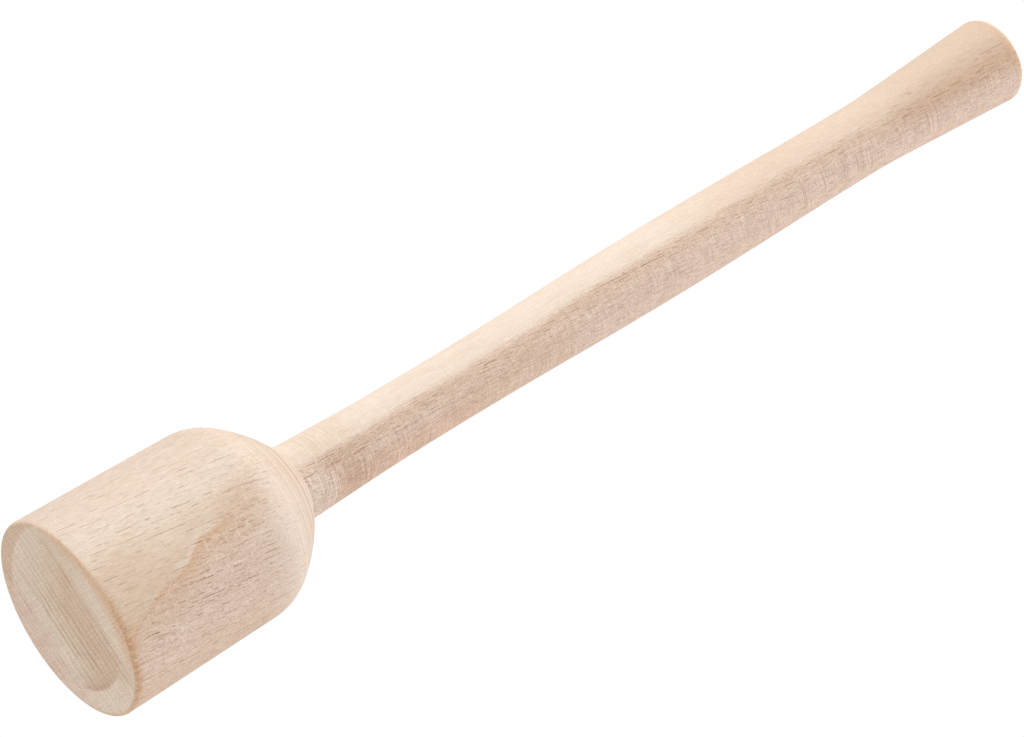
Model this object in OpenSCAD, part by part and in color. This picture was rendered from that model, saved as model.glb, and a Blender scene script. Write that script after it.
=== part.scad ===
// Kraut stomper: a turned beech head on a turned beech handle, joined by a glued round tenon.
// The turning axis is Z. The striking face lies on z = 0 and the handle points up.

/* [Head] */
// Diameter of the striking face, before its edge is eased
face_d = 68; // [56:0.5:80]
// Diameter at the top of the tapered side, where the shoulder starts
shoulder_d = 65.5; // [61:0.1:76]
// Height of the whole head, from the striking face to the flat landing
head_h = 86.4; // [76:0.2:110]
// Height of the dome, from the top of the tapered side to the landing
dome_h = 26.9; // [19:0.1:30]
// Radius of the shoulder that rounds the side in towards the crown
shoulder_r = 20.4; // [12:0.2:26]
// Angle above level that the shoulder faces where the flatter crown starts
shoulder_turn = 34; // [24:1:42]
// Radius of the eased edge round the striking face
rim_ease = 1.2; // [0.4:0.1:4]
// Width of the flat landing left showing round the handle's collar
landing_ledge = 0.4; // [0.2:0.1:2]

/* [Handle] */
// Length of the handle from the head's landing to its end
handle_len = 313.6; // [280:0.2:400]
// Diameter of the collar that sits on the landing
collar_d = 26; // [23:0.2:32]
// Diameter of the lower waist, the thinnest place of the grip
lower_waist_d = 23; // [20:0.1:28]
// Height of the lower waist above the landing
lower_waist_up = 60.6; // [40:0.2:90]
// Diameter of the belly in the middle of the grip
belly_d = 25.4; // [22:0.1:32]
// Height of the belly above the landing
belly_up = 163.6; // [130:0.2:200]
// Diameter of the upper waist below the flared end
upper_waist_d = 24; // [20:0.1:27]
// Distance of the upper waist below the handle's end
upper_waist_down = 66; // [54:0.2:96]
// Radius of the hollow curve that opens the upper waist into the flared end
flare_r = 240; // [80:5:260]
// Largest diameter of the flared end
end_d = 30.2; // [28:0.1:36]
// Radius of the round edge at the flared end
end_round = 4; // [1:0.1:8]

/* [Tenon joint] */
// Diameter of the socket bored into the head
socket_d = 18; // [12:0.5:20]
// Depth of the socket below the landing
socket_depth = 45; // [25:0.5:60]
// Depth of the chamfer at the socket's mouth
mouth_chamfer = 1; // [0.3:0.1:1.5]
// Thickness of the glue between the tenon and the socket's wall
glue_gap = 0.15; // [0.1:0.05:0.5]
// Depth of the glue left under the tenon
glue_pool = 2; // [0.5:0.1:5]
// Length of the chamfer on the tenon's lower end
tenon_chamfer = 1.5; // [0.5:0.1:4]

/* [Hidden] */
$fn = 128;
// Straight steps that an arc of the outline is drawn in
arc_steps = 16;
// Overrun of a cutting or joining shape past the face that it meets
overrun = 1;
// Directions in the outline's plane, in degrees from straight out
up = 90;
inward = 180;
down = -90;

// The head's outline, as [radius, height]
face_r = face_d / 2;
side_h = head_h - dome_h;
shoulder_edge = [shoulder_d / 2, side_h];
landing_edge = [collar_d / 2 + landing_ledge, head_h];
// The side leans in by this angle towards the shoulder
side_lean = atan((face_r - shoulder_edge[0]) / side_h);
side_normal = [cos(side_lean), sin(side_lean)];
// The eased edge is tangent to the striking face and to the leaning side
rim_centre = [face_r - rim_ease * (1 + sin(side_lean)) / cos(side_lean), rim_ease];
// The shoulder is an arc tangent to the leaning side
shoulder_centre = shoulder_edge - shoulder_r * side_normal;
// The crown is an arc tangent to the shoulder that ends at the landing's edge
crown_normal = [cos(shoulder_turn), sin(shoulder_turn)];
crown_edge = shoulder_centre + shoulder_r * crown_normal;
crown_chord = crown_edge - landing_edge;
crown_r = crown_chord * crown_chord / (2 * crown_normal * crown_chord);
crown_centre = crown_edge - crown_r * crown_normal;
landing_reach = landing_edge - crown_centre;
landing_angle = atan2(landing_reach[1], landing_reach[0]);

// The grip's outline, as [radius, height]
collar_edge = [collar_d / 2, head_h];
lower_waist = [lower_waist_d / 2, head_h + lower_waist_up];
belly = [belly_d / 2, head_h + belly_up];
end_z = head_h + handle_len;
upper_waist = [upper_waist_d / 2, end_z - upper_waist_down];
// The flare is the straight line that touches both the hollow curve and the end's round edge
hollow_centre = [upper_waist[0] + flare_r, upper_waist[1]];
end_centre = [end_d / 2 - end_round, end_z - end_round];
across = hollow_centre[0] - end_centre[0];
along = end_centre[1] - hollow_centre[1];
flare_lean = atan2(along, across) - acos((flare_r + end_round) / norm([across, along]));

// The joint
socket_floor = head_h - socket_depth;
tenon_d = socket_d - 2 * glue_gap;
tenon_len = socket_depth - glue_pool;
tenon_foot = head_h - tenon_len;

// Points along an arc, both ends included
function arc(centre, radius, from, to) = [
    for (i = [0:arc_steps])
        let (a = from + (to - from) * i / arc_steps)
            centre + radius * [cos(a), sin(a)]
];

// Points from one [radius, height] to another along an arc that is level, parallel to the axis, at the first
function level_arc(level, far) =
    let (rise = far[0] - level[0])
    let (run = far[1] - level[1])
    let (radius = rise == 0 ? 0 : (run ^ 2 + rise ^ 2) / (2 * rise))
    let (sweep = rise == 0 ? 0 : asin(run / abs(radius)))
    rise == 0
        ? [level, far]
        : [
            for (i = [0:arc_steps])
                let (a = sweep * i / arc_steps)
                    level + [radius * (1 - cos(a)), abs(radius) * sin(a)]
        ];

function reversed(points) = [for (i = [len(points) - 1:-1:0]) points[i]];

// A list of points with its first left out, because the stretch before it ends there
function onward(points) = [for (i = [1:len(points) - 1]) points[i]];

// Points between two level places, as two arcs that meet half way
function swell(low, high) =
    let (middle = (low + high) / 2)
    concat(level_arc(low, middle), onward(reversed(level_arc(high, middle))));

head_outline = concat(
    [[0, 0]],
    arc(rim_centre, rim_ease, down, side_lean),
    arc(shoulder_centre, shoulder_r, side_lean, shoulder_turn),
    onward(arc(crown_centre, crown_r, shoulder_turn, landing_angle)),
    [[0, head_h]]
);

grip_outline = concat(
    [[0, head_h]],
    reversed(level_arc(lower_waist, collar_edge)),
    onward(swell(lower_waist, belly)),
    onward(swell(belly, upper_waist)),
    onward(arc(hollow_centre, flare_r, inward, inward - flare_lean)),
    arc(end_centre, end_round, -flare_lean, up),
    [[0, end_z]]
);

// The bored hollow in the head: a flat-bottomed bore with a chamfered mouth, cut past the landing by over
module socket(over) {
    translate([0, 0, socket_floor])
        cylinder(d = socket_d, h = socket_depth + over);
    translate([0, 0, head_h - mouth_chamfer])
        cylinder(
            d1 = socket_d,
            d2 = socket_d + 2 * (mouth_chamfer + over),
            h = mouth_chamfer + over
        );
}

// The round tenon under the collar, with a chamfered lower end, reaching up into the collar by overrun
module tenon() {
    translate([0, 0, tenon_foot + tenon_chamfer])
        cylinder(d = tenon_d, h = tenon_len - tenon_chamfer + overrun);
    translate([0, 0, tenon_foot])
        cylinder(d1 = tenon_d - 2 * tenon_chamfer, d2 = tenon_d, h = tenon_chamfer);
}

module stomper_head() {
    color("#dcc6b3")
        difference() {
            rotate_extrude()
                polygon(head_outline);
            socket(overrun);
        }
}

module handle() {
    color("#e2cbb9") {
        rotate_extrude()
            polygon(grip_outline);
        tenon();
    }
}

// Cured glue: it fills the socket round and under the tenon
module glue_film() {
    color("#e6d7ae")
        difference() {
            socket(0);
            tenon();
        }
}

stomper_head();
handle();
glue_film();
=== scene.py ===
# %% [markdown]
# # A turned beech kraut stomper
# The real tool is two pieces of raw beech from a lathe: a heavy head with a flat end-grain face, and a
# long waisted handle that is glued into the head with a round tenon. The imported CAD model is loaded
# first, because it fixes where every piece sits. Everything below is made in its frame, in metres, with
# the turning axis on Z. Places and sizes in the finishes and outlines are in millimetres.

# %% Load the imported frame
import math

import bpy
import numpy as np
from mathutils import Matrix, Vector


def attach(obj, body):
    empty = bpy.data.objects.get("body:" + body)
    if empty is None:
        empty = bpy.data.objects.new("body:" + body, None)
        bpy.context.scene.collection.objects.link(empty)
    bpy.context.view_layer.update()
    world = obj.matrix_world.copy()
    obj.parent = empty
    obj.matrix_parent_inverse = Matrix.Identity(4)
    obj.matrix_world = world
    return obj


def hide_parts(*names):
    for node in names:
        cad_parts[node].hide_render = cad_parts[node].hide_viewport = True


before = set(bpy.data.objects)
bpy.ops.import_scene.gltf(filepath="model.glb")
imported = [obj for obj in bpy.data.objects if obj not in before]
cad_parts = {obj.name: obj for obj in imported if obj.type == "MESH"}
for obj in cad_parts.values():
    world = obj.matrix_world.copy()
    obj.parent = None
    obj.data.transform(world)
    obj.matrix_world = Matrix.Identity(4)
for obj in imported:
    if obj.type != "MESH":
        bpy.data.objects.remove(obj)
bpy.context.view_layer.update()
MM = 0.001

# %% [markdown]
# ## The camera
# The photo looks up at the striking face from below and from the front, with a long lens. The place and
# the three directions of the camera come from fitting the turned outline to the photo's edges, so they
# are given as plain numbers. The lens follows from the fitted focal length in pixels and the photo's
# width.

# %% Camera
PHOTO_WIDTH = 1024
FOCAL_PIXELS = 5188
SENSOR_MM = 36
CAMERA_PLACE = Vector((0.004995, -1.464497, -0.615260))
CAMERA_RIGHT = Vector((0.52033672, -0.40627482, 0.75112614))
CAMERA_UP = Vector((-0.85396118, -0.24755189, 0.45767714))
CAMERA_BACK = CAMERA_RIGHT.cross(CAMERA_UP)

scene = bpy.context.scene
lens = bpy.data.cameras.new("photo_lens")
lens.sensor_width = SENSOR_MM
lens.lens = FOCAL_PIXELS / PHOTO_WIDTH * SENSOR_MM
camera = bpy.data.objects.new("photo_camera", lens)
camera.matrix_world = Matrix.LocRotScale(
    CAMERA_PLACE,
    Matrix((CAMERA_RIGHT, CAMERA_UP, CAMERA_BACK)).transposed().to_quaternion(),
    None,
)
scene.collection.objects.link(camera)
scene.camera = camera
print("lens", round(lens.lens, 1), "mm at", round(CAMERA_PLACE.length, 3), "m from the striking face")

# %% [markdown]
# ## The world
# The tool was shot in soft, even light, and a pale world gives most of it. Lamps alone could do that, but
# a world reaches every side. Rays that come straight from the camera see a plain white world instead, and
# so do rays that bounce off a shine or pass through something clear. This gives the photo's white ground,
# while the light that lies on the wood stays at a plain level.

# %% World
WORLD_LIGHT = 0.62
WHITE = (1, 1, 1, 1)

scene.view_settings.view_transform = "Standard"
world = bpy.data.worlds.new("pale_room")
scene.world = world
world.use_nodes = True
room = world.node_tree
room.nodes.clear()
room_light = room.nodes.new("ShaderNodeBackground")
room_light.inputs["Color"].default_value = WHITE
room_light.inputs["Strength"].default_value = WORLD_LIGHT
room_white = room.nodes.new("ShaderNodeBackground")
room_white.inputs["Color"].default_value = WHITE
ray = room.nodes.new("ShaderNodeLightPath")
seen = ray.outputs["Is Camera Ray"]
for kind in ("Is Glossy Ray", "Is Transmission Ray"):
    either = room.nodes.new("ShaderNodeMath")
    either.operation = "MAXIMUM"
    room.links.new(seen, either.inputs[0])
    room.links.new(ray.outputs[kind], either.inputs[1])
    seen = either.outputs[0]
room_mix = room.nodes.new("ShaderNodeMixShader")
room.links.new(seen, room_mix.inputs["Fac"])
room.links.new(room_light.outputs[0], room_mix.inputs[1])
room.links.new(room_white.outputs[0], room_mix.inputs[2])
room_out = room.nodes.new("ShaderNodeOutputWorld")
room.links.new(room_mix.outputs[0], room_out.inputs["Surface"])
print("world lights the wood at", WORLD_LIGHT)

# %% [markdown]
# ## The lamps
# The light is a little stronger from the picture's upper left and from the handle's side. Four large
# lamps do that: a key on the left, a fill on the right, one overhead and a weak one under the face, as a
# white table would throw light back. They are large because small ones would throw harder shadows than
# the photo shows. Lamplight thins out with the square of the distance, so each lamp's watts make up for
# how far away it stands.

# %% Lamps
LAMP_SIZE = 1.1
LAMPS = {
    # name: (from where, in metres, and how much light it adds on a face that looks at it)
    "key_left": ((-1.75, -0.95, 0.55), 0.53),
    "fill_right": ((1.75, -0.55, 0.75), 0.37),
    "overhead": ((-0.15, -0.10, 2.30), 0.40),
    "table_bounce": ((0.10, -0.45, -1.90), 0.26),
}
AIM = Vector((0, 0, 0.16))

for name, (place, level) in LAMPS.items():
    lamp = bpy.data.lights.new(name, "AREA")
    lamp.size = LAMP_SIZE
    from_aim = Vector(place) - AIM
    lamp.energy = level * math.pi ** 2 * from_aim.length_squared
    holder = bpy.data.objects.new(name, lamp)
    holder.location = place
    holder.rotation_euler = from_aim.to_track_quat("Z", "Y").to_euler()
    holder.visible_camera = False
    scene.collection.objects.link(holder)
    print(name, round(lamp.energy, 1), "W")

# %% [markdown]
# ## A bench for mixing finishes
# Wood is many thin layers: tone, growth rings, rays, pores, scratches. Each layer is a few shader nodes.
# Two small classes keep the wiring short. A Signal is a number that changes over the surface: sums and
# products of signals add the nodes that work them out. A Finish is one material, and its colour is built
# up like paint: each call lays a colour over what is there, by a share from 0 to 1.

# %% Helper: signals and finishes
# How much red, green and blue change where wood gets lighter or darker: it fades most in its blue
SHADE_RATE = (0.88, 1.0, 1.10)


class Signal:
    def __init__(self, finish, socket):
        self.finish = finish
        self.socket = socket

    def __add__(self, other):
        return self.finish.math("ADD", self, other)

    def __sub__(self, other):
        return self.finish.math("SUBTRACT", self, other)

    def __rsub__(self, other):
        return self.finish.math("SUBTRACT", other, self)

    def __mul__(self, other):
        return self.finish.math("MULTIPLY", self, other)

    def __truediv__(self, other):
        return self.finish.math("DIVIDE", self, other)

    def __abs__(self):
        return self.finish.math("ABSOLUTE", self)

    __radd__ = __add__
    __rmul__ = __mul__

    def over(self, other):
        """The larger of two signals at each point."""
        return self.finish.math("MAXIMUM", self, other)

    def fade(self, start, end, low=0.0, high=1.0):
        """low where this signal is at start, high where it is at end, with soft shoulders."""
        node = self.finish.add("ShaderNodeMapRange", interpolation_type="SMOOTHSTEP")
        names = ("Value", "From Min", "From Max", "To Min", "To Max")
        for name, value in zip(names, (self, start, end, low, high)):
            self.finish.feed(node.inputs[name], value)
        return Signal(self.finish, node.outputs[0])


class Finish:
    def __init__(self, name):
        self.material = bpy.data.materials.new(name)
        self.material.use_nodes = True
        self.tree = self.material.node_tree
        self.tree.nodes.clear()
        self.colour = (1, 1, 1)

    def feed(self, socket, value):
        if isinstance(value, Signal):
            value = value.socket
        if isinstance(value, bpy.types.NodeSocket):
            self.tree.links.new(value, socket)
        elif socket.type == "RGBA":
            socket.default_value = (*value, 1)
        else:
            socket.default_value = value

    def add(self, kind, **settings):
        node = self.tree.nodes.new(kind)
        for key, value in settings.items():
            setattr(node, key, value)
        return node

    def math(self, operation, first, second=0.0):
        node = self.add("ShaderNodeMath", operation=operation)
        self.feed(node.inputs[0], first)
        self.feed(node.inputs[1], second)
        return Signal(self, node.outputs[0])

    def point(self, x=0.0, y=0.0, z=0.0):
        node = self.add("ShaderNodeCombineXYZ")
        for socket, value in zip(node.inputs, (x, y, z)):
            self.feed(socket, value)
        return node.outputs[0]

    def noise(self, vector, detail=1.0, rough=0.5):
        node = self.add("ShaderNodeTexNoise")
        names = ("Vector", "Scale", "Detail", "Roughness")
        for name, value in zip(names, (vector, 1.0, detail, rough)):
            self.feed(node.inputs[name], value)
        return Signal(self, node.outputs[0])

    def chance(self, number):
        """A random number from 0 to 1 for each whole number."""
        node = self.add("ShaderNodeTexWhiteNoise", noise_dimensions="1D")
        self.feed(node.inputs["W"], number)
        return Signal(self, node.outputs["Value"])

    def paint(self, colour, share):
        """Lays a colour over what is there, by a share."""
        node = self.add("ShaderNodeMix", data_type="RGBA", clamp_factor=True)
        # A mix node has sockets for each kind of value: 6 and 7 take colours, and output 2 gives one
        self.feed(node.inputs[0], share)
        self.feed(node.inputs[6], self.colour)
        self.feed(node.inputs[7], colour)
        self.colour = node.outputs[2]

    def shade(self, change):
        """Makes the colour lighter or darker by a share."""
        factor = self.add("ShaderNodeVectorMath", operation="MULTIPLY_ADD")
        self.feed(factor.inputs[0], change)
        factor.inputs[1].default_value = SHADE_RATE
        factor.inputs[2].default_value = (1, 1, 1)
        node = self.add("ShaderNodeVectorMath", operation="MULTIPLY")
        self.feed(node.inputs[0], self.colour)
        self.feed(node.inputs[1], factor.outputs[0])
        self.colour = node.outputs[0]


def srgb(red, green, blue):
    """A colour as it is read off a screen, 0 to 255, as the linear colour that a shader takes."""
    def linear(c):
        c /= 255
        return c / 12.92 if c <= 0.04045 else ((c + 0.055) / 1.055) ** 2.4
    return (linear(red), linear(green), linear(blue))


print("finishing bench ready, half grey is", round(srgb(128, 128, 128)[0], 3))

# %% [markdown]
# ## Where a point of the wood lies
# Beech shows different marks along its fibres, across them and round the turned surface. So each finish
# first works out, in millimetres, where a point is: its place, its height, its angle round the axis as a
# length on the surface, and its distance from the axis. The angle starts at the side that the photo
# shows. Fibres are seldom parallel to the axis: they lead round the piece a little for each millimetre up
# it. Where the piece narrows they run straight on in front, and turn in with the slope round the back.


# %% Helper: places on a turned piece
class TurnedBeech(Finish):
    def __init__(self, name, skin_radius, lead=0.0):
        """Lengths round the piece are true on its skin_radius. Fibres go round by lead for each mm up."""
        super().__init__(name)
        millimetres = self.add("ShaderNodeVectorMath", operation="SCALE")
        self.feed(millimetres.inputs["Vector"], self.add("ShaderNodeTexCoord").outputs["Object"])
        millimetres.inputs["Scale"].default_value = 1 / MM
        self.x, self.y, self.z = self.split(millimetres.outputs[0])
        self.around = self.math("ARCTAN2", self.x, self.y * -1) * skin_radius
        self.radius = self.math("SQRT", self.x * self.x + self.y * self.y)
        self.facing_up = self.split(self.add("ShaderNodeNewGeometry").outputs["Normal"])[2]
        # Front means within one radian, and back means past two
        front, back = skin_radius, 2 * skin_radius
        narrowing = abs(self.around).fade(front, back, self.radius / skin_radius, 1.0)
        self.across = self.around * narrowing - self.z * lead
        unwound = self.add("ShaderNodeVectorRotate", rotation_type="Z_AXIS")
        self.feed(unwound.inputs["Vector"], millimetres.outputs[0])
        self.feed(unwound.inputs["Angle"], self.z * (-lead / skin_radius))
        self.fibres = unwound.outputs[0]

    def split(self, vector):
        node = self.add("ShaderNodeSeparateXYZ")
        self.feed(node.inputs[0], vector)
        return [Signal(self, socket) for socket in node.outputs]

    def clouds(self, across, along, detail=1.0, rough=0.5):
        """Noise whose lumps are this many millimetres across the fibres and along them."""
        node = self.add("ShaderNodeMapping")
        self.feed(node.inputs["Vector"], self.fibres)
        node.inputs["Scale"].default_value = (1 / across, 1 / across, 1 / along)
        return self.noise(node.outputs[0], detail, rough)


print("turned finishes ready, measured in units of", MM, "m")

# %% [markdown]
# ## Rays, fibres and scratches
# Beech is known by its rays: on a face cut along the log they show as thin dark dashes in rows that run
# with the fibres. Each row gets a random place between its neighbours, its own strength and its own beat
# of dashes and gaps. Scratches from sanding on the lathe run the other way, round the piece, so they come
# from noise squeezed along the axis.


# %% Helper: marks in the wood
def rays(wood, pitch, dash, width, shift, start, end):
    """Dashes about a dash long and a width wide, in rows a pitch apart. shift gives another set of rows.

    A row's beat is noise: it leaves a gap below start and a full dash above end.
    """
    sway = wood.clouds(24.0, 70.0) * 3.0
    across = (wood.across + sway + shift) / pitch
    row = wood.math("FLOOR", across)
    # A row stands anywhere in the middle three fifths of its pitch
    middle = row + wood.chance(row + shift) * 0.6 + 0.2
    stroke = abs(across - middle).fade(0.62 * width / pitch, 0.15 * width / pitch)
    # Neighbouring rows read the noise far apart, so their beats differ
    beat = wood.noise(wood.point(wood.z / dash, row * 7.31 + shift), detail=3.0)
    strength = wood.chance(row * 3.0 + shift + 0.5) * 0.7 + 0.45
    return stroke * beat.fade(start, end) * strength


def scratches(wood, pitch, long, start, end):
    """Scratch lines round the piece, about a pitch apart: 1 on a scratch, 0 between."""
    return wood.clouds(long, pitch, detail=2.0, rough=0.6).fade(start, end)


print("marks ready: rays and scratches")

# %% [markdown]
# ## The head's tones
# The head is paler on its left and pinker on its right. The two tones meet along a slanting edge, where a
# growth ring runs out through the skin. The edge is crisp half way up, and soft above and below. Round
# the back, which the photo doesn't show, both tones run out into pink. A painted picture could hold all
# this. Fades by angle and height are used instead, because they have no pixels and carry on round the
# back.

# %% Head: cream and pink
CREAM = srgb(230, 212, 194)
PINK = srgb(221, 196, 179)
HEAD_SKIN_R = 33.4
HEAD_LEAD = 0.15

head_wood = TurnedBeech("raw_beech_head", HEAD_SKIN_R, HEAD_LEAD)
around, z = head_wood.around, head_wood.z
head_wood.colour = CREAM
head_wood.paint(PINK, around.fade(-12, -38) * 0.55)
# How far right the edge lies at each height, and how soft it is there
ring_edge = z.fade(0, 32, 13, 5) + z.fade(27, 39, 0, -6) + z.fade(45, 75, 0, -8)
softness = z.fade(18, 3, 1.3, 5.5) + z.fade(42, 56, 0, 8.0)
drift = head_wood.clouds(9.0, 16.0, detail=3.0) - 0.5
past_edge = around - ring_edge + drift * 5.0
round_back = abs(around).fade(66, 98)
pinkness = (past_edge / softness).fade(-1.4, 1).over(round_back)
head_wood.paint(PINK, pinkness)
print("head: cream and pink laid")

# %% [markdown]
# ## Along the edge
# A tan shade follows the edge, and a second one fills its left side low down. Where the edge is crisp, it
# is orange-tinged on its right and pale on its left. Below that it is drawn as a thin orange line. Each
# mark is a product of fades across the edge and up the head, so that it can be moved by itself.

# %% Head: along the edge
TAN = srgb(212, 184, 158)
ORANGE = srgb(213, 172, 136)
PALE = srgb(240, 226, 212)

edge_shade = past_edge.fade(-14, 0) * past_edge.fade(13, 3) * z.fade(70, 56)
head_wood.paint(TAN, edge_shade * 0.62)
low_tan = around.fade(-17, -4) * around.fade(16, 0, 0.65, 1.0) * past_edge.fade(4, -2) * z.fade(38, 8)
head_wood.paint(TAN, low_tan * 0.65)
crisp = z.fade(20, 31) * z.fade(52, 43)
head_wood.paint(PALE, past_edge.fade(-5, -1.0) * past_edge.fade(0.4, -0.6) * crisp * 0.25)
head_wood.paint(ORANGE, past_edge.fade(-0.8, 0.4) * past_edge.fade(5.5, 0.6) * crisp * 0.50)
thin_line = abs(past_edge - 0.4).fade(0.9, 0.1) * z.fade(1, 5) * z.fade(36, 28)
head_wood.paint(ORANGE, thin_line * 0.50)
print("head: edge drawn")

# %% [markdown]
# ## Patches and mottling
# The far right turns tan: partly the wood's tone and partly painted shade, as that side turns away
# from the key lamp. A broad tan patch lies over the soft upper part of the edge: an ellipse, made
# ragged by the noise that also moves the edge. All over, the wood is mottled in fine lumps along the
# fibres, most of all on the pink side.

# %% Head: patches and mottling
PATCH_AROUND, PATCH_Z = -0.5, 54.5
PATCH_HALF_W, PATCH_HALF_H = 8.0, 11.0

# Tan tone and painted shade together: the far right darkens as it turns from the key lamp
head_wood.paint(TAN, around.fade(24, 44) * 0.45)
patch_x = (around - PATCH_AROUND) / PATCH_HALF_W
patch_z = (z - PATCH_Z) / PATCH_HALF_H
patch = (patch_x * patch_x + patch_z * patch_z + drift * 1.5).fade(1.3, 0.0)
head_wood.paint(TAN, patch * 0.55)
head_wood.paint(PINK, round_back)
mottle = head_wood.clouds(1.3, 6.0, detail=2.0)
head_wood.paint(TAN, mottle.fade(0.48, 0.70) * (0.18 + pinkness * 0.14))
head_wood.paint(PALE, mottle.fade(0.50, 0.30) * (0.12 + pinkness * 0.10))
print("head: patches and mottling laid")

# %% [markdown]
# ## The head's marks
# Long rays stand in rows all over the side, with shorter ones between them, and the pink half has many
# fine flecks. The rows follow the fibres, which lead round the head by about a seventh of their height.
# On the dome they thin out.

# %% Head: rays, fibres and flecks
RAY = srgb(154, 106, 82)
REDDISH = srgb(168, 112, 88)
FLECK = srgb(180, 143, 122)

long_rays = rays(head_wood, pitch=2.0, dash=6.5, width=0.29, shift=3.0, start=0.51, end=0.60)
mid_rays = rays(head_wood, pitch=1.2, dash=3.2, width=0.24, shift=41.0, start=0.52, end=0.62)
flecks = rays(head_wood, pitch=0.62, dash=1.3, width=0.30, shift=77.0, start=0.50, end=0.60)
fibre = head_wood.clouds(0.55, 3.2, detail=2.0) - 0.5
pores = head_wood.clouds(0.42, 0.50, detail=1.0) - 0.5
head_wood.shade(fibre * 0.36 + pores * (0.28 + pinkness * 0.36))
on_side = z.fade(79, 67, 0.35, 1.0)
head_wood.paint(FLECK, flecks * on_side * (0.18 + pinkness * 0.46))
head_wood.paint(REDDISH, mid_rays * on_side * (0.44 + pinkness * 0.60))
head_wood.paint(RAY, long_rays * on_side * (0.64 + pinkness * 0.22))
sanding = scratches(head_wood, pitch=0.5, long=9.0, start=0.56, end=0.70)
head_wood.paint(PALE, sanding * pinkness * 0.20)
print("head: rays, flecks and scratches drawn")

# %% [markdown]
# ## The dome
# Turning across the fibres leaves the dome furry and paler, and the gouge leaves fine rings near the
# neck. The pale tone laid on the dome is partly that and partly painted light, laid over its upper part
# except on the left. Its top is darkened with painted shade where the handle stands in it. The rings are
# cut into the shape further down. Here dust is laid in rings like them, from noise that changes mostly
# with the distance from the axis, and three dark grooves are drawn that are fainter round the back.

# %% Head: dome
RING_DUST = srgb(202, 172, 148)
GROOVES = {
    # distance from the axis: share of the dark tone
    17.4: 0.20,
    19.8: 0.40,
    22.2: 0.14,
}

# Partly paler fibre, partly painted light: the upper dome is lightened except on its left
head_wood.paint(PALE, z.fade(50, 72) * around.fade(-26, 16).over(round_back) * 0.56)
unsteady = head_wood.clouds(6.0, 20.0) * 0.35
ring_dust = head_wood.noise(head_wood.point(head_wood.radius * 1.15 + unsteady), detail=3.0, rough=0.75)
near_neck = z.fade(65, 78)
head_wood.paint(RING_DUST, ring_dust.fade(0.48, 0.60) * near_neck * 0.74)
head_wood.paint(PALE, ring_dust.fade(0.47, 0.36) * near_neck * 0.50)
in_front = abs(around).fade(85, 40, 0.45, 1.0) * z.fade(60, 66)
for groove, depth in GROOVES.items():
    head_wood.paint(RAY, abs(head_wood.radius - groove + unsteady).fade(0.30, 0.08) * in_front * depth)
# Painted shade: the dome darkens towards the neck, where the handle stands in it
head_wood.shade(z.fade(66, 78) * -0.075)
print("head: dome laid with", len(GROOVES), "grooves")

# %% [markdown]
# ## The striking face
# The face is end grain: greyer than the side, and pinker at its far edge. Pink streaks come in from
# there. Some fall at random, and three broader ones have their own places. A picture of end grain could
# be laid on the face, but fades and noise in its own X and Y can follow what the photo shows.

# %% Face: ground and streaks
END_GREY = srgb(224, 206, 187)
END_PINK = srgb(221, 195, 177)
STREAK = srgb(216, 180, 162)
STREAKS = {
    # place across the face: half the width
    -9.5: 2.2,
    1.0: 1.4,
    10.5: 3.2,
}

x, y = head_wood.x, head_wood.y
on_face = head_wood.facing_up.fade(-0.55, -0.90)
head_wood.paint(END_GREY, on_face)
walk = head_wood.clouds(11.0, 60.0, detail=3.0) - 0.5
head_wood.paint(END_PINK, y.fade(16, 27) * on_face * 0.6)
streaks = head_wood.noise(head_wood.point(x * 0.24, y * 0.04), detail=2.0)
head_wood.paint(STREAK, streaks.fade(0.48, 0.64) * (y + x * 0.2).fade(13, 25) * on_face * 0.4)
for middle, half in STREAKS.items():
    streak = abs(x - middle + walk * 5.0).fade(half, 0.2) * y.fade(12, 22)
    head_wood.paint(STREAK, streak * on_face * 0.34)
print("face: ground and", len(STREAKS), "broad streaks laid")

# %% [markdown]
# ## The heart
# A browner heart lies across the face. On the left it fades out. On the right it stops in a rounded,
# reddish edge that is crisp in its far half and soft in its near half.

# %% Face: heart
HEART = srgb(209, 180, 153)
LINE_RED = srgb(180, 136, 112)
HEART_END, HEART_BEND = 24.5, 0.014

# How far left of the heart's end a point lies
inside = HEART_END - x - y * y * HEART_BEND + walk * 2.5
heart_end = inside.fade(-0.8, 1.2).over(y.fade(-5, -15) * x.fade(36, 16))
across_heart = (y + walk * 8.0).fade(15, -6) * y.fade(-24, -15, 0.10, 1.0)
heart = heart_end * (x - y * 0.8).fade(-24, 2, 0.08, 0.85) * across_heart
head_wood.paint(HEART, heart * on_face * 0.72)
rounded_end = inside.fade(-0.5, 0.8) * inside.fade(9, 1) * y.fade(20, 12) * y.fade(-10, 2)
head_wood.paint(LINE_RED, rounded_end * on_face * 0.27)
end_line = abs(inside - 0.8).fade(1.3, 0.2) * y.fade(17, 12) * y.fade(-4, 4)
head_wood.paint(LINE_RED, end_line * on_face * 0.24)
print("face: heart laid")

# %% [markdown]
# ## The growth rings
# Rings cross the face nearly straight, at uneven distances. Each darkens slowly and clears sooner, has
# its own strength, and comes and goes in patches. They are strongest in the heart and nearly gone past
# its end. One number that grows across the face draws them all: its whole part says which ring a point is
# in, and the rest how far into that ring it lies.

# %% Face: growth rings
RING_BROWN = srgb(184, 152, 124)
RINGS_APART = 3.4

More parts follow.
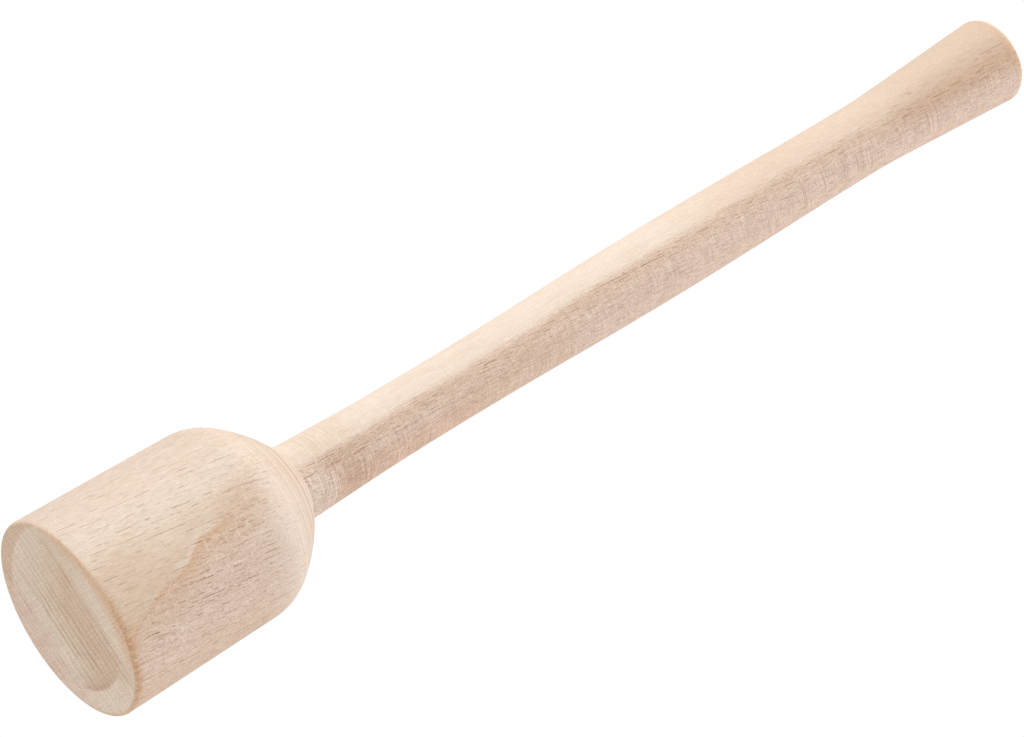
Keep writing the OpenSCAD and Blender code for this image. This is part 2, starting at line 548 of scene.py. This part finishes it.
uneven = head_wood.noise(head_wood.point(y * 0.11 + 4.7)) * 1.2
ring_number = (y + x * 0.06 + walk * 3.2) / RINGS_APART + uneven
year = head_wood.math("FRACT", ring_number)
strong = head_wood.chance(head_wood.math("FLOOR", ring_number)) * 0.5 + 0.4
late_wood = year.fade(0.05, 0.65) * year.fade(1.0, 0.68) * strong
patchy = head_wood.clouds(9.0, 60.0, detail=3.0).fade(0.34, 0.62, 0.35, 0.9)
late_wood = late_wood * patchy * y.fade(22, 5, 0.50, 1.0) * y.fade(-22, -13, 0.15, 1.0)
late_wood = late_wood * (heart_end * 0.85 + 0.15) * x.fade(-32, -6, 0.40, 1.0)
head_wood.paint(RING_BROWN, late_wood * (0.85 + heart * 0.45) * on_face)
print("face: growth rings drawn, about", RINGS_APART, "mm apart")

# %% [markdown]
# ## The edges and pores of the face
# On the left a striped band of the next growth lies along the rim: it is what falls outside a larger
# circle. The near edge is tinged with orange. Open pores, fine rays and faint lines give the end grain
# its tooth.

# %% Face: band, near edge and pores
BAND = srgb(208, 172, 146)
STRIPES_APART = 1.8
BAND_X, BAND_Y, BAND_R = 20, -10, 50

band_x = x - BAND_X
band_y = y - BAND_Y
band_at = head_wood.math("SQRT", band_x * band_x + band_y * band_y)
band = band_at.fade(BAND_R - 0.6, BAND_R + 0.6) * y.fade(29, 20) * on_face
head_wood.paint(BAND, band * 0.46)
band_stripe = head_wood.math("FRACT", (y + x * 0.25 + walk * 3.0) / STRIPES_APART)
head_wood.paint(RING_BROWN, band_stripe.fade(0.4, 0.8) * band * 0.34)
near_rim = head_wood.radius.fade(26, 33) * y.fade(-14, -26) * x.fade(30, 20)
head_wood.paint(ORANGE, near_rim * on_face * 0.62)
end_pores = head_wood.noise(head_wood.point(x * 2.4, y * 1.6), detail=2.0, rough=0.7) - 0.5
end_rays = head_wood.noise(head_wood.point(x * 1.3, y * 0.10), detail=2.0, rough=0.7) - 0.5
end_lines = head_wood.noise(head_wood.point(x * 0.04, y * 0.9 + walk * 4.0), detail=2.0, rough=0.6) - 0.5
head_wood.shade((end_pores * 1.3 + end_rays * 0.34 + end_lines * 0.50) * on_face)
print("face: band, near edge and pores laid")

# %% [markdown]
# ## The rim
# Where the face meets the side, sanding has burnished the eased edge. On the left it is faint and
# yellowish. Towards the right it grows broad and orange brown, broken up, with short teeth that reach up
# along the fibres. Round the back it is faint again. Where the slanting edge of the tones comes down to
# the rim, a little orange gathers.

# %% Head: rim
BURNISH = srgb(188, 142, 106)
YELLOWED = srgb(218, 190, 150)

towards_right = around.fade(-15, 17) * around.fade(56, 34, 0.35, 1.0) * around.fade(100, 60)
teeth = head_wood.noise(head_wood.point(around * 0.75), detail=3.0, rough=0.75)
tooth_height = teeth.fade(0.38, 0.72, 0.55, 1.9) * (1.2 + towards_right * 2.3)
starts = abs(around).fade(35, 70, 32.5, 31.9)
burnish = (z / tooth_height).fade(1.1, 0.1) * (head_wood.radius - starts).fade(0, 1.1)
broken = head_wood.clouds(0.8, 1.4, detail=2.0).fade(0.32, 0.62, 0.45, 1.25)
edge_foot = abs(past_edge - 1.5).fade(6, 0) * z.fade(7, 1.5) * (1 - on_face)
head_wood.paint(ORANGE, edge_foot * 0.35)
head_wood.paint(YELLOWED, burnish * 0.30)
toothed = burnish * broken * teeth.fade(0.25, 0.62, 0.45, 1.0)
head_wood.paint(BURNISH, toothed * (0.02 + towards_right * 0.80))
print("head: rim burnished")

# %% [markdown]
# ## Closing a finish
# Raw sanded beech is matt. Its shine comes only from the fibres, so the roughness is high and wanders a
# little, and a fine bump carries the fibres and the sunk rays.

# %% Helper: close a finish
BUMP_STRENGTH = 0.35
ROUGH_LEAST, ROUGH_MOST = 0.72, 0.88


def close(wood, sunk, furry, bump_mm, shine=0.18):
    """Ends a finish. furry roughens and lifts the surface, and sunk sinks it, by shares of bump_mm."""
    shader = wood.add("ShaderNodeBsdfPrincipled")
    wood.feed(shader.inputs["Base Color"], wood.colour)
    wood.feed(shader.inputs["Roughness"], furry.fade(-0.2, 0.2, ROUGH_LEAST, ROUGH_MOST))
    shader.inputs["Specular IOR Level"].default_value = shine
    bump = wood.add("ShaderNodeBump")
    bump.inputs["Strength"].default_value = BUMP_STRENGTH
    bump.inputs["Distance"].default_value = bump_mm * MM
    wood.feed(bump.inputs["Height"], furry * 0.6 - sunk)
    wood.feed(shader.inputs["Normal"], bump.outputs[0])
    out = wood.add("ShaderNodeOutputMaterial")
    wood.feed(out.inputs["Surface"], shader.outputs[0])
    print("closed", wood.material.name, "with", len(wood.tree.nodes), "nodes")
    return wood.material


head_finish = close(head_wood, long_rays * (1 - on_face), fibre, bump_mm=0.10)

# %% [markdown]
# ## The handle's tones
# The handle is cream on the side that the light catches and pinkish on the other. The edge between them
# runs the whole length, nearly straight, with a tan band beside it. From here on, the names around, z and
# past_edge mean the handle's own.

# %% Handle: cream, pink and the tan band
HANDLE_CREAM = srgb(236, 218, 200)
HANDLE_PINK = srgb(222, 196, 179)
PEACH = srgb(228, 202, 182)
STICK_SKIN_R = 12.4
STICK_LEAD = 0.085

stick = TurnedBeech("raw_beech_handle", STICK_SKIN_R, STICK_LEAD)
around, z = stick.around, stick.z
skin_edge = z.fade(180, 205, -1.9, -2.6) + z.fade(295, 400, 0.0, 3.0)
wander = stick.clouds(5.0, 24.0, detail=3.0) - 0.5
past_edge = around - skin_edge + wander * 2.2
dark_side = past_edge.fade(-3.1, 1.6).over((around + wander * 8.0).fade(-21, -33))
stick.colour = HANDLE_CREAM
stick.paint(PEACH, stick.clouds(6.0, 16.0, detail=2.0).fade(0.48, 0.68) * 0.30)
stick.paint(HANDLE_PINK, dark_side)
stick.paint(TAN, past_edge.fade(-2.2, 1.2) * past_edge.fade(6.0, 1.5) * 0.50)
print("handle: cream, pink and tan band laid")

# %% [markdown]
# ## Shades along the handle
# Up its length the handle changes a little. Above a collar that is rubbed pale, its dark side is deepest,
# and tinged with orange on the far right. Next to the head both sides are also darkened with painted
# shade. Further up the dark side is tan, and from the belly on both sides turn to peach. The front gets
# tanner towards the flared end. On the flare, which faces a little down and away from the lamps, more
# tan is laid on as painted shade. There a darker stripe runs beside the edge, and the round corner is
# tinged with orange.

# %% Handle: shades from the head to the end
END_SHADE = srgb(198, 166, 138)
STRIPE_AT = 1.5

# Both are 1 in front and fall to 0 at the back: one round the left, one round the right
left_limit = around.fade(-38, -26)
right_limit = around.fade(38, 26)
stick.paint(PEACH, past_edge.fade(9, 13) * right_limit * z.fade(200, 270) * 0.35)
stick.paint(TAN, past_edge.fade(2, 7) * right_limit * z.fade(138, 155) * z.fade(208, 180) * 0.45)
stick.paint(PEACH, past_edge.fade(1, -3) * left_limit * z.fade(235, 285) * 0.38)
far_right = past_edge.fade(6, 11) * around.fade(30, 20)
stick.paint(ORANGE, far_right * z.fade(180, 130) * z.fade(92, 112) * 0.30)
# Painted shade: both sides of the handle darken towards the head
stick.shade(dark_side * z.fade(180, 95) * -0.03)
stick.paint(TAN, z.fade(122, 90) * past_edge.fade(1, -3) * 0.22)
stick.paint(END_SHADE, dark_side * z.fade(97, 102) * z.fade(116, 104) * 0.36)
stick.paint(PALE, z.fade(98, 89) * 0.34)
stick.paint(TAN, z.fade(240, 300, 0.0, 0.26) * past_edge.fade(4, -2) * left_limit)
# Painted shade: the flare faces a little down, away from the lamps, so its front is darkened
stick.paint(TAN, z.fade(325, 385) * past_edge.fade(8, 1, 0.0, 0.47) * left_limit)
from_stripe = around - STRIPE_AT
stick.paint(END_SHADE, from_stripe.fade(-10, 0) * from_stripe.fade(7, 0) * z.fade(325, 362) * 0.55)
stick.paint(ORANGE, z.fade(393, 398) * around.fade(14, 4) * left_limit * 0.35)
print("handle: shades laid")

# %% [markdown]
# ## The handle's grain
# Fibres and pores cover the handle. On its dark side, fine scratches from sanding cross the fibres, so
# that the skin looks hatched, most of all near the head and in loose clusters further up.

# %% Handle: fibres, pores and hatching
stick_fibre = stick.clouds(0.40, 4.2, detail=2.0) - 0.5
stick_pores = stick.clouds(0.36, 0.40, detail=1.0) - 0.5
hatch = stick.clouds(8.0, 0.45, detail=2.0, rough=0.6) - 0.5
near_head = z.fade(150, 95)
clusters = stick.clouds(14.0, 9.0, detail=2.0).fade(0.36, 0.60)
hatched = past_edge.fade(0.5, 4.0).over(near_head * 0.45)
stick.shade(
    stick_fibre * (0.26 + dark_side * 0.38)
    + stick_pores * (0.42 + dark_side * 0.44)
    + hatch * hatched * (0.30 + clusters * 0.44 + near_head * 0.50)
)
print("handle: grain and hatching drawn")

# %% [markdown]
# ## The handle's rays and scratches
# Dark rays line the tan band and thin out on the pink side. Near the end they also cross to the cream
# side. A few deeper scratches go part of the way round, and two bright ones lie just above the collar.

# %% Handle: rays and single scratches
DEEP_SCRATCHES = (298.6, 299.5, 308.2, 317.4, 318.6, 323.4, 325.9, 355.8, 357.6, 359.9)
BRIGHT_SCRATCHES = (94.2, 96.8)

long_stick_rays = rays(stick, pitch=1.0, dash=5.5, width=0.26, shift=5.0, start=0.52, end=0.60)
short_stick_rays = rays(stick, pitch=0.6, dash=1.8, width=0.28, shift=23.0, start=0.52, end=0.62)
lined = dark_side * past_edge.fade(9.0, 0.0, 0.35, 1.0)
lined = lined.over(z.fade(320, 350) * past_edge.fade(-7, -3) * past_edge.fade(4, 0) * 0.8)
stick.paint(FLECK, short_stick_rays * (0.10 + dark_side * 0.56))
stick.paint(RAY, long_stick_rays * (0.05 + lined * 0.85))
stick.paint(RAY, short_stick_rays * dark_side * near_head * 0.40)
part_way = around.fade(1.0, 4.0) * around.fade(14.0, 10.0)
for height in DEEP_SCRATCHES:
    stick.paint(FLECK, abs(z - height + wander * 0.5).fade(0.30, 0.08) * part_way * 0.5)
for height in BRIGHT_SCRATCHES:
    stick.paint(PALE, abs(z - height + around * 0.04).fade(0.42, 0.10) * part_way * 0.5)
print("handle:", len(DEEP_SCRATCHES) + len(BRIGHT_SCRATCHES), "single scratches drawn")

# %% [markdown]
# ## The handle's end
# The flat top of the handle is end grain, like the striking face, with soft rings and open pores.

# %% Handle: end grain
END_RINGS_APART = 2.9

on_end = stick.facing_up.fade(0.55, 0.90) * z.fade(380, 390)
stick.paint(END_GREY, on_end * 0.8)
end_walk = stick.clouds(10.0, 60.0, detail=2.0) - 0.5
end_year = stick.math("FRACT", (stick.y + stick.x * 0.3 + end_walk * 4.0) / END_RINGS_APART)
stick.paint(RING_BROWN, end_year.fade(0.2, 0.80) * end_year.fade(1.0, 0.82) * on_end * 0.32)
end_dots = stick.noise(stick.point(stick.x * 2.4, stick.y * 1.6), detail=2.0, rough=0.7) - 0.5
stick.shade(end_dots * on_end * 0.9)
handle_finish = close(stick, long_stick_rays, stick_fibre, bump_mm=0.08)

# %% [markdown]
# ## The glue's finish
# Cured wood glue is a cream skin with small bubbles. It shows nowhere from outside, but the model can
# be taken apart, so it still gets its own look.

# %% Glue
GLUE_LIGHT = srgb(232, 218, 180)
GLUE_DARK = srgb(214, 192, 140)
FILM_R = 9.0

glue = TurnedBeech("cured_wood_glue", FILM_R)
cloudy = glue.clouds(2.0, 4.0, detail=3.0) - 0.5
bubbles = glue.clouds(0.6, 0.6)
glue.colour = GLUE_LIGHT
glue.paint(GLUE_DARK, cloudy.fade(-0.15, 0.15))
glue_finish = close(glue, bubbles.fade(0.68, 0.75), cloudy, bump_mm=0.05, shine=0.4)

# %% [markdown]
# ## Outlines
# A turned piece is one outline spun round its axis, so an outline of radius and height is all that the
# head and the handle need. It is made of the same arcs and lines as the CAD model, from the same sizes in
# millimetres, only drawn in finer steps. A curve drawn by hand could be spun too, but would not stay true
# to those sizes.


# %% Helper: arcs of an outline
def steps(length, pitch):
    """How many steps of no more than a pitch a length takes, and at least two."""
    return max(2, math.ceil(abs(length) / pitch))


def arc(centre, radius, start, end, pitch):
    """Points along an arc. Angles are in radians from straight out."""
    angles = np.linspace(start, end, steps(radius * (end - start), pitch) + 1)
    return np.array(centre) + radius * np.stack([np.cos(angles), np.sin(angles)], 1)


def line(first, last, pitch):
    count = steps(np.linalg.norm(np.subtract(last, first)), pitch)
    return np.linspace(first, last, count + 1)


def level_arc(level, far, pitch):
    """Points along an arc that is parallel to the axis at its first point."""
    rise, run = far[0] - level[0], far[1] - level[1]
    radius = (run ** 2 + rise ** 2) / (2 * rise)
    angles = np.linspace(0, math.asin(run / abs(radius)), steps(run, pitch) + 1)
    return np.array(level) + np.stack([radius * (1 - np.cos(angles)), abs(radius) * np.sin(angles)], 1)


def swell(low, high, pitch):
    """Two arcs that meet half way between two level places."""
    middle = np.add(low, high) / 2
    return np.concatenate([level_arc(low, middle, pitch), level_arc(high, middle, pitch)[::-1][1:]])


print("a quarter round of 10 mm in steps of 1 mm has", len(arc((0, 0), 10, 0, math.pi / 2, 1)), "points")

# %% [markdown]
# ## The head's outline
# From the centre of the striking face it runs out to the eased rim, up the side, round the shoulder and
# over the flatter crown to the flat landing, and down into the socket that takes the tenon. The rim, the
# shoulder and the crown are arcs. They meet the straight side and one another without a kink, so their
# centres are worked out first.

# %% Head outline: arcs
FACE_D, SHOULDER_D, HEAD_H, DOME_H = 68.0, 65.5, 86.4, 26.9
SHOULDER_R, SHOULDER_TURN = 20.4, math.radians(34)
RIM_EASE, LANDING_LEDGE, COLLAR_D = 1.2, 0.4, 26.0
RIM_STEP, SHOULDER_STEP, CROWN_STEP = 0.15, 0.4, 0.2

side_h = HEAD_H - DOME_H
shoulder_edge = np.array([SHOULDER_D / 2, side_h])
landing_edge = np.array([COLLAR_D / 2 + LANDING_LEDGE, HEAD_H])
side_lean = math.atan((FACE_D - SHOULDER_D) / 2 / side_h)
rim_centre = (FACE_D / 2 - RIM_EASE * (1 + math.sin(side_lean)) / math.cos(side_lean), RIM_EASE)
shoulder_centre = shoulder_edge - SHOULDER_R * np.array([math.cos(side_lean), math.sin(side_lean)])
crown_normal = np.array([math.cos(SHOULDER_TURN), math.sin(SHOULDER_TURN)])
crown_edge = shoulder_centre + SHOULDER_R * crown_normal
chord = crown_edge - landing_edge
crown_r = chord @ chord / (2 * crown_normal @ chord)
crown_centre = crown_edge - crown_r * crown_normal
landing_angle = math.atan2(*(landing_edge - crown_centre)[::-1])

rim = arc(rim_centre, RIM_EASE, -math.pi / 2, side_lean, RIM_STEP)
shoulder = arc(shoulder_centre, SHOULDER_R, side_lean, SHOULDER_TURN, SHOULDER_STEP)
crown = arc(crown_centre, crown_r, SHOULDER_TURN, landing_angle, CROWN_STEP)
print("shoulder:", len(shoulder), "points on a radius of", SHOULDER_R, "mm")
print("crown:", len(crown), "points on a radius of", round(crown_r, 2), "mm")

# %% [markdown]
# ## Tool rings on the crown
# The gouge leaves fine rings where it crosses the fibres near the neck. On the lathe they are part of the
# outline, so they are cut into the crown here, always inwards so that the head stays within its size.
# They come in gently up the crown, run out just before the landing, and aren't quite evenly spaced.

# %% Head outline: rings and joining
RING_PITCH, RING_DEPTH, RING_UNEVEN = 1.7, 0.05, 0.9
RINGS_FROM, RINGS_COME_IN, RINGS_RUN_OUT = 5, 6, 0.8
SOCKET_D, SOCKET_DEPTH, MOUTH_CHAMFER = 18.0, 45.0, 1.0
SIDE_STEP, FLAT_STEP = 1.5, 4

along = np.linspace(0, crown_r * (landing_angle - SHOULDER_TURN), len(crown))
wave = (1 - np.cos(2 * np.pi * along / RING_PITCH + RING_UNEVEN * np.sin(along))) / 2
come_in = np.clip((along - RINGS_FROM) / RINGS_COME_IN, 0, 1)
run_out = np.clip((along[-1] - along) / RINGS_RUN_OUT, 0, 1)
outward = (crown - crown_centre) / crown_r
crown = crown - (RING_DEPTH * wave * (come_in * run_out))[:, None] * outward
socket_r = SOCKET_D / 2
mouth = (socket_r, HEAD_H - MOUTH_CHAMFER)
socket_floor = HEAD_H - SOCKET_DEPTH
head_outline = np.concatenate([
    line((0, 0), rim[0], FLAT_STEP)[:-1],
    rim,
    line(rim[-1], shoulder[0], SIDE_STEP)[1:-1],
    shoulder,
    crown[1:],
    [(socket_r + MOUTH_CHAMFER, HEAD_H), mouth],
    line(mouth, (socket_r, socket_floor), FLAT_STEP)[1:],
    [(0, socket_floor)],
])
print("head outline:", len(head_outline), "points, rings", RING_DEPTH, "mm deep")

# %% [markdown]
# ## The handle's outline
# From the tenon's foot it runs up the tenon, out under the collar, and along the grip: lower waist,
# belly, upper waist, flare and rounded end. The flare is the straight line that touches both the hollow
# curve above the upper waist and the end's round edge.

# %% Handle outline: grip
HANDLE_LEN = 313.6
LOWER_WAIST_D, LOWER_WAIST_UP = 23.0, 60.6
BELLY_D, BELLY_UP = 25.4, 163.6
UPPER_WAIST_D, UPPER_WAIST_DOWN = 24.0, 66.0
FLARE_R, END_D, END_ROUND = 240.0, 30.2, 4.0
GRIP_STEP, END_STEP, TOP_STEP = 1.4, 0.3, 3

end_z = HEAD_H + HANDLE_LEN
collar_edge = (COLLAR_D / 2, HEAD_H)
lower_waist = (LOWER_WAIST_D / 2, HEAD_H + LOWER_WAIST_UP)
belly = (BELLY_D / 2, HEAD_H + BELLY_UP)
upper_waist = (UPPER_WAIST_D / 2, end_z - UPPER_WAIST_DOWN)
hollow_centre = (upper_waist[0] + FLARE_R, upper_waist[1])
end_centre = (END_D / 2 - END_ROUND, end_z - END_ROUND)
sideways = hollow_centre[0] - end_centre[0]
upwards = end_centre[1] - hollow_centre[1]
touching = math.acos((FLARE_R + END_ROUND) / math.hypot(sideways, upwards))
flare_lean = math.atan2(upwards, sideways) - touching
hollow = arc(hollow_centre, FLARE_R, math.pi, math.pi - flare_lean, GRIP_STEP)
end_curve = arc(end_centre, END_ROUND, -flare_lean, math.pi / 2, END_STEP)
grip = np.concatenate([
    level_arc(lower_waist, collar_edge, GRIP_STEP)[::-1],
    swell(lower_waist, belly, GRIP_STEP)[1:],
    swell(belly, upper_waist, GRIP_STEP)[1:],
    hollow[1:],
    line(hollow[-1], end_curve[0], GRIP_STEP)[1:-1],
    end_curve,
    line(end_curve[-1], (0, end_z), TOP_STEP)[1:],
])
print("grip:", len(grip), "points, flare leans", round(math.degrees(flare_lean), 2), "degrees")

# %% [markdown]
# ## The tenon
# The tenon is thinner than its socket by the glue round it, and shorter by the glue under it.

# %% Handle outline: tenon and joining
GLUE_GAP, GLUE_POOL, TENON_CHAMFER = 0.15, 2.0, 1.5

tenon_r = SOCKET_D / 2 - GLUE_GAP
tenon_foot = HEAD_H - SOCKET_DEPTH + GLUE_POOL
tenon = [(0, tenon_foot), (tenon_r - TENON_CHAMFER, tenon_foot), (tenon_r, tenon_foot + TENON_CHAMFER)]
handle_outline = np.concatenate([tenon, line(tenon[-1], (tenon_r, HEAD_H), FLAT_STEP)[1:], grip])
print("handle outline:", len(handle_outline), "points, tenon", round(HEAD_H - tenon_foot, 1), "mm long")

# %% [markdown]
# ## The lathe
# Spinning an outline is a rule, so Geometry Nodes do it. The tree makes a grid with one column for each
# step round the axis and one row for each point of the outline, then sends every grid point to its place:
# the outline's radius, turned by the column's angle. Merging by distance closes the seam and both ends.

# %% Geometry Nodes: lathe tree
MERGE_WITHIN = 1e-6


def lathe_tree():
    tree = bpy.data.node_groups.new("lathe", "GeometryNodeTree")
    sockets = tree.interface
    sockets.new_socket("Outline", in_out="INPUT", socket_type="NodeSocketGeometry")
    sockets.new_socket("Steps round", in_out="INPUT", socket_type="NodeSocketInt")
    sockets.new_socket("Finish", in_out="INPUT", socket_type="NodeSocketMaterial")
    sockets.new_socket("Piece", in_out="OUTPUT", socket_type="NodeSocketGeometry")

    def add(kind, **settings):
        node = tree.nodes.new(kind)
        for key, value in settings.items():
            setattr(node, key, value)
        return node

    def calc(operation, a, b=0.0):
        node = add("ShaderNodeMath", operation=operation)
        for socket, value in zip(node.inputs, (a, b)):
            if isinstance(value, bpy.types.NodeSocket):
                tree.links.new(value, socket)
            else:
                socket.default_value = value
        return node.outputs[0]

    given = add("NodeGroupInput").outputs
    count = add("GeometryNodeAttributeDomainSize", component="MESH")
    tree.links.new(given["Outline"], count.inputs[0])
    rows = count.outputs["Point Count"]
    grid = add("GeometryNodeMeshGrid")
    tree.links.new(calc("ADD", given["Steps round"], 1), grid.inputs["Vertices X"])
    tree.links.new(rows, grid.inputs["Vertices Y"])

    index = add("GeometryNodeInputIndex").outputs[0]
    column = calc("FLOOR", calc("DIVIDE", calc("ADD", index, 0.5), rows))
    row = calc("SUBTRACT", index, calc("MULTIPLY", column, rows))
    point = add("GeometryNodeSampleIndex", data_type="FLOAT_VECTOR", domain="POINT")
    tree.links.new(given["Outline"], point.inputs["Geometry"])
    tree.links.new(add("GeometryNodeInputPosition").outputs[0], point.inputs["Value"])
    tree.links.new(row, point.inputs["Index"])
    parts = add("ShaderNodeSeparateXYZ")
    tree.links.new(point.outputs["Value"], parts.inputs[0])

    angle = calc("DIVIDE", calc("MULTIPLY", column, math.tau), given["Steps round"])
    place = add("ShaderNodeCombineXYZ")
    tree.links.new(calc("MULTIPLY", parts.outputs["X"], calc("SINE", angle)), place.inputs["X"])
    inward = calc("MULTIPLY", calc("COSINE", angle), -1)
    tree.links.new(calc("MULTIPLY", parts.outputs["X"], inward), place.inputs["Y"])
    tree.links.new(parts.outputs["Z"], place.inputs["Z"])

    spin = add("GeometryNodeSetPosition")
    tree.links.new(place.outputs[0], spin.inputs["Position"])
    merge = add("GeometryNodeMergeByDistance")
    merge.inputs["Distance"].default_value = MERGE_WITHIN
    smooth = add("GeometryNodeSetShadeSmooth")
    realize = add("GeometryNodeRealizeInstances")
    dress = add("GeometryNodeSetMaterial")
    tree.links.new(given["Finish"], dress.inputs["Material"])
    shape = grid.outputs["Mesh"]
    for node in (spin, merge, smooth, realize, dress):
        tree.links.new(shape, node.inputs["Geometry"])
        shape = node.outputs["Geometry"]
    tree.links.new(shape, add("NodeGroupOutput").inputs["Piece"])
    return tree


lathe = lathe_tree()
print("lathe tree:", len(lathe.nodes), "nodes")

# %% [markdown]
# ## Turning the pieces
# Each outline becomes a row of points, the lathe tree spins it, and the result is kept as a plain mesh.
# Edges sharper than 35 degrees, such as the collar's, stay crisp, and the rest is shaded smooth.

# %% Helper: turn a piece
SHARP_ANGLE = math.radians(35)


def turn(name, outline, steps_round, finish):
    points = bpy.data.meshes.new(name + "_outline")
    corners = [(r * MM, 0, z * MM) for r, z in outline]
    points.from_pydata(corners, [(i, i + 1) for i in range(len(corners) - 1)], [])
    piece = bpy.data.objects.new(name, points)
    scene.collection.objects.link(piece)
    spin = piece.modifiers.new("lathe", "NODES")
    spin.node_group = lathe
    sockets = {s.name: s.identifier for s in lathe.interface.items_tree if s.in_out == "INPUT"}
    spin[sockets["Steps round"]] = steps_round
    spin[sockets["Finish"]] = finish
    ready = bpy.context.evaluated_depsgraph_get()
    mesh = bpy.data.meshes.new_from_object(piece.evaluated_get(ready), depsgraph=ready)
    piece.modifiers.clear()
    piece.data = mesh
    mesh.name = name
    mesh.set_sharp_from_angle(angle=SHARP_ANGLE)
    bpy.data.meshes.remove(points)
    mesh.calc_loop_triangles()
    print(name, len(mesh.loop_triangles), "triangles")
    return piece


print("edges over", round(math.degrees(SHARP_ANGLE)), "degrees stay crisp")

# %% [markdown]
# ## Head and handle
# The head is wider, so it gets more steps round its axis. Each piece takes the place of its CAD node,
# which is hidden.

# %% Turn the head and the handle
HEAD_STEPS = 288
HANDLE_STEPS = 192

head = turn("turned_head", head_outline, HEAD_STEPS, head_finish)
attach(head, "root")
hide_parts("stomper_head")
handle = turn("turned_handle", handle_outline, HANDLE_STEPS, handle_finish)
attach(handle, "root")
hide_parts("handle")

# %% [markdown]
# ## The glue film
# The CAD solid of the glue already has the right shape, so it stays and only gets its finish.

# %% Glue film
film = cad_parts["glue_film"]
film.data.materials.clear()
film.data.materials.append(glue_finish)

# %% [markdown]
# ## The floor
# The stomper stands on a pale floor and throws its shadow there. The photo looks at it from below the
# floor, so the floor shows only its upper side, and it neither shades nor tints the wood. Away from the
# stomper it thins out, so that it runs into the white ground without an edge.

# %% Floor
FLOOR_HALF, FLOOR_DROP = 2.0, 0.0002
FLOOR_GREY = (0.78, 0.78, 0.78, 1)
FADE_FROM, FADE_TO = 0.25, 0.95

floor_mesh = bpy.data.meshes.new("floor")
signs = ((-1, -1), (1, -1), (1, 1), (-1, 1))
floor_corners = [(right * FLOOR_HALF, far * FLOOR_HALF, -FLOOR_DROP) for right, far in signs]
floor_mesh.from_pydata(floor_corners, [], [(0, 1, 2, 3)])
floor = bpy.data.objects.new("floor", floor_mesh)
scene.collection.objects.link(floor)
floor_finish = Finish("pale_floor")
matt = floor_finish.add("ShaderNodeBsdfDiffuse")
matt.inputs["Color"].default_value = FLOOR_GREY
clear = floor_finish.add("ShaderNodeBsdfTransparent")
underside = Signal(floor_finish, floor_finish.add("ShaderNodeNewGeometry").outputs["Backfacing"])
distance = floor_finish.add("ShaderNodeVectorMath", operation="LENGTH")
floor_finish.feed(distance.inputs[0], floor_finish.add("ShaderNodeTexCoord").outputs["Object"])
thin = Signal(floor_finish, distance.outputs["Value"]).fade(FADE_FROM, FADE_TO)
sides = floor_finish.add("ShaderNodeMixShader")
floor_finish.feed(sides.inputs[0], underside.over(thin))
floor_finish.feed(sides.inputs[1], matt.outputs[0])
floor_finish.feed(sides.inputs[2], clear.outputs[0])
floor_finish.feed(floor_finish.add("ShaderNodeOutputMaterial").inputs["Surface"], sides.outputs[0])
floor_mesh.materials.append(floor_finish.material)
floor.visible_shadow = False
floor.visible_diffuse = False
print("floor laid", FLOOR_DROP / MM, "mm under the striking face")
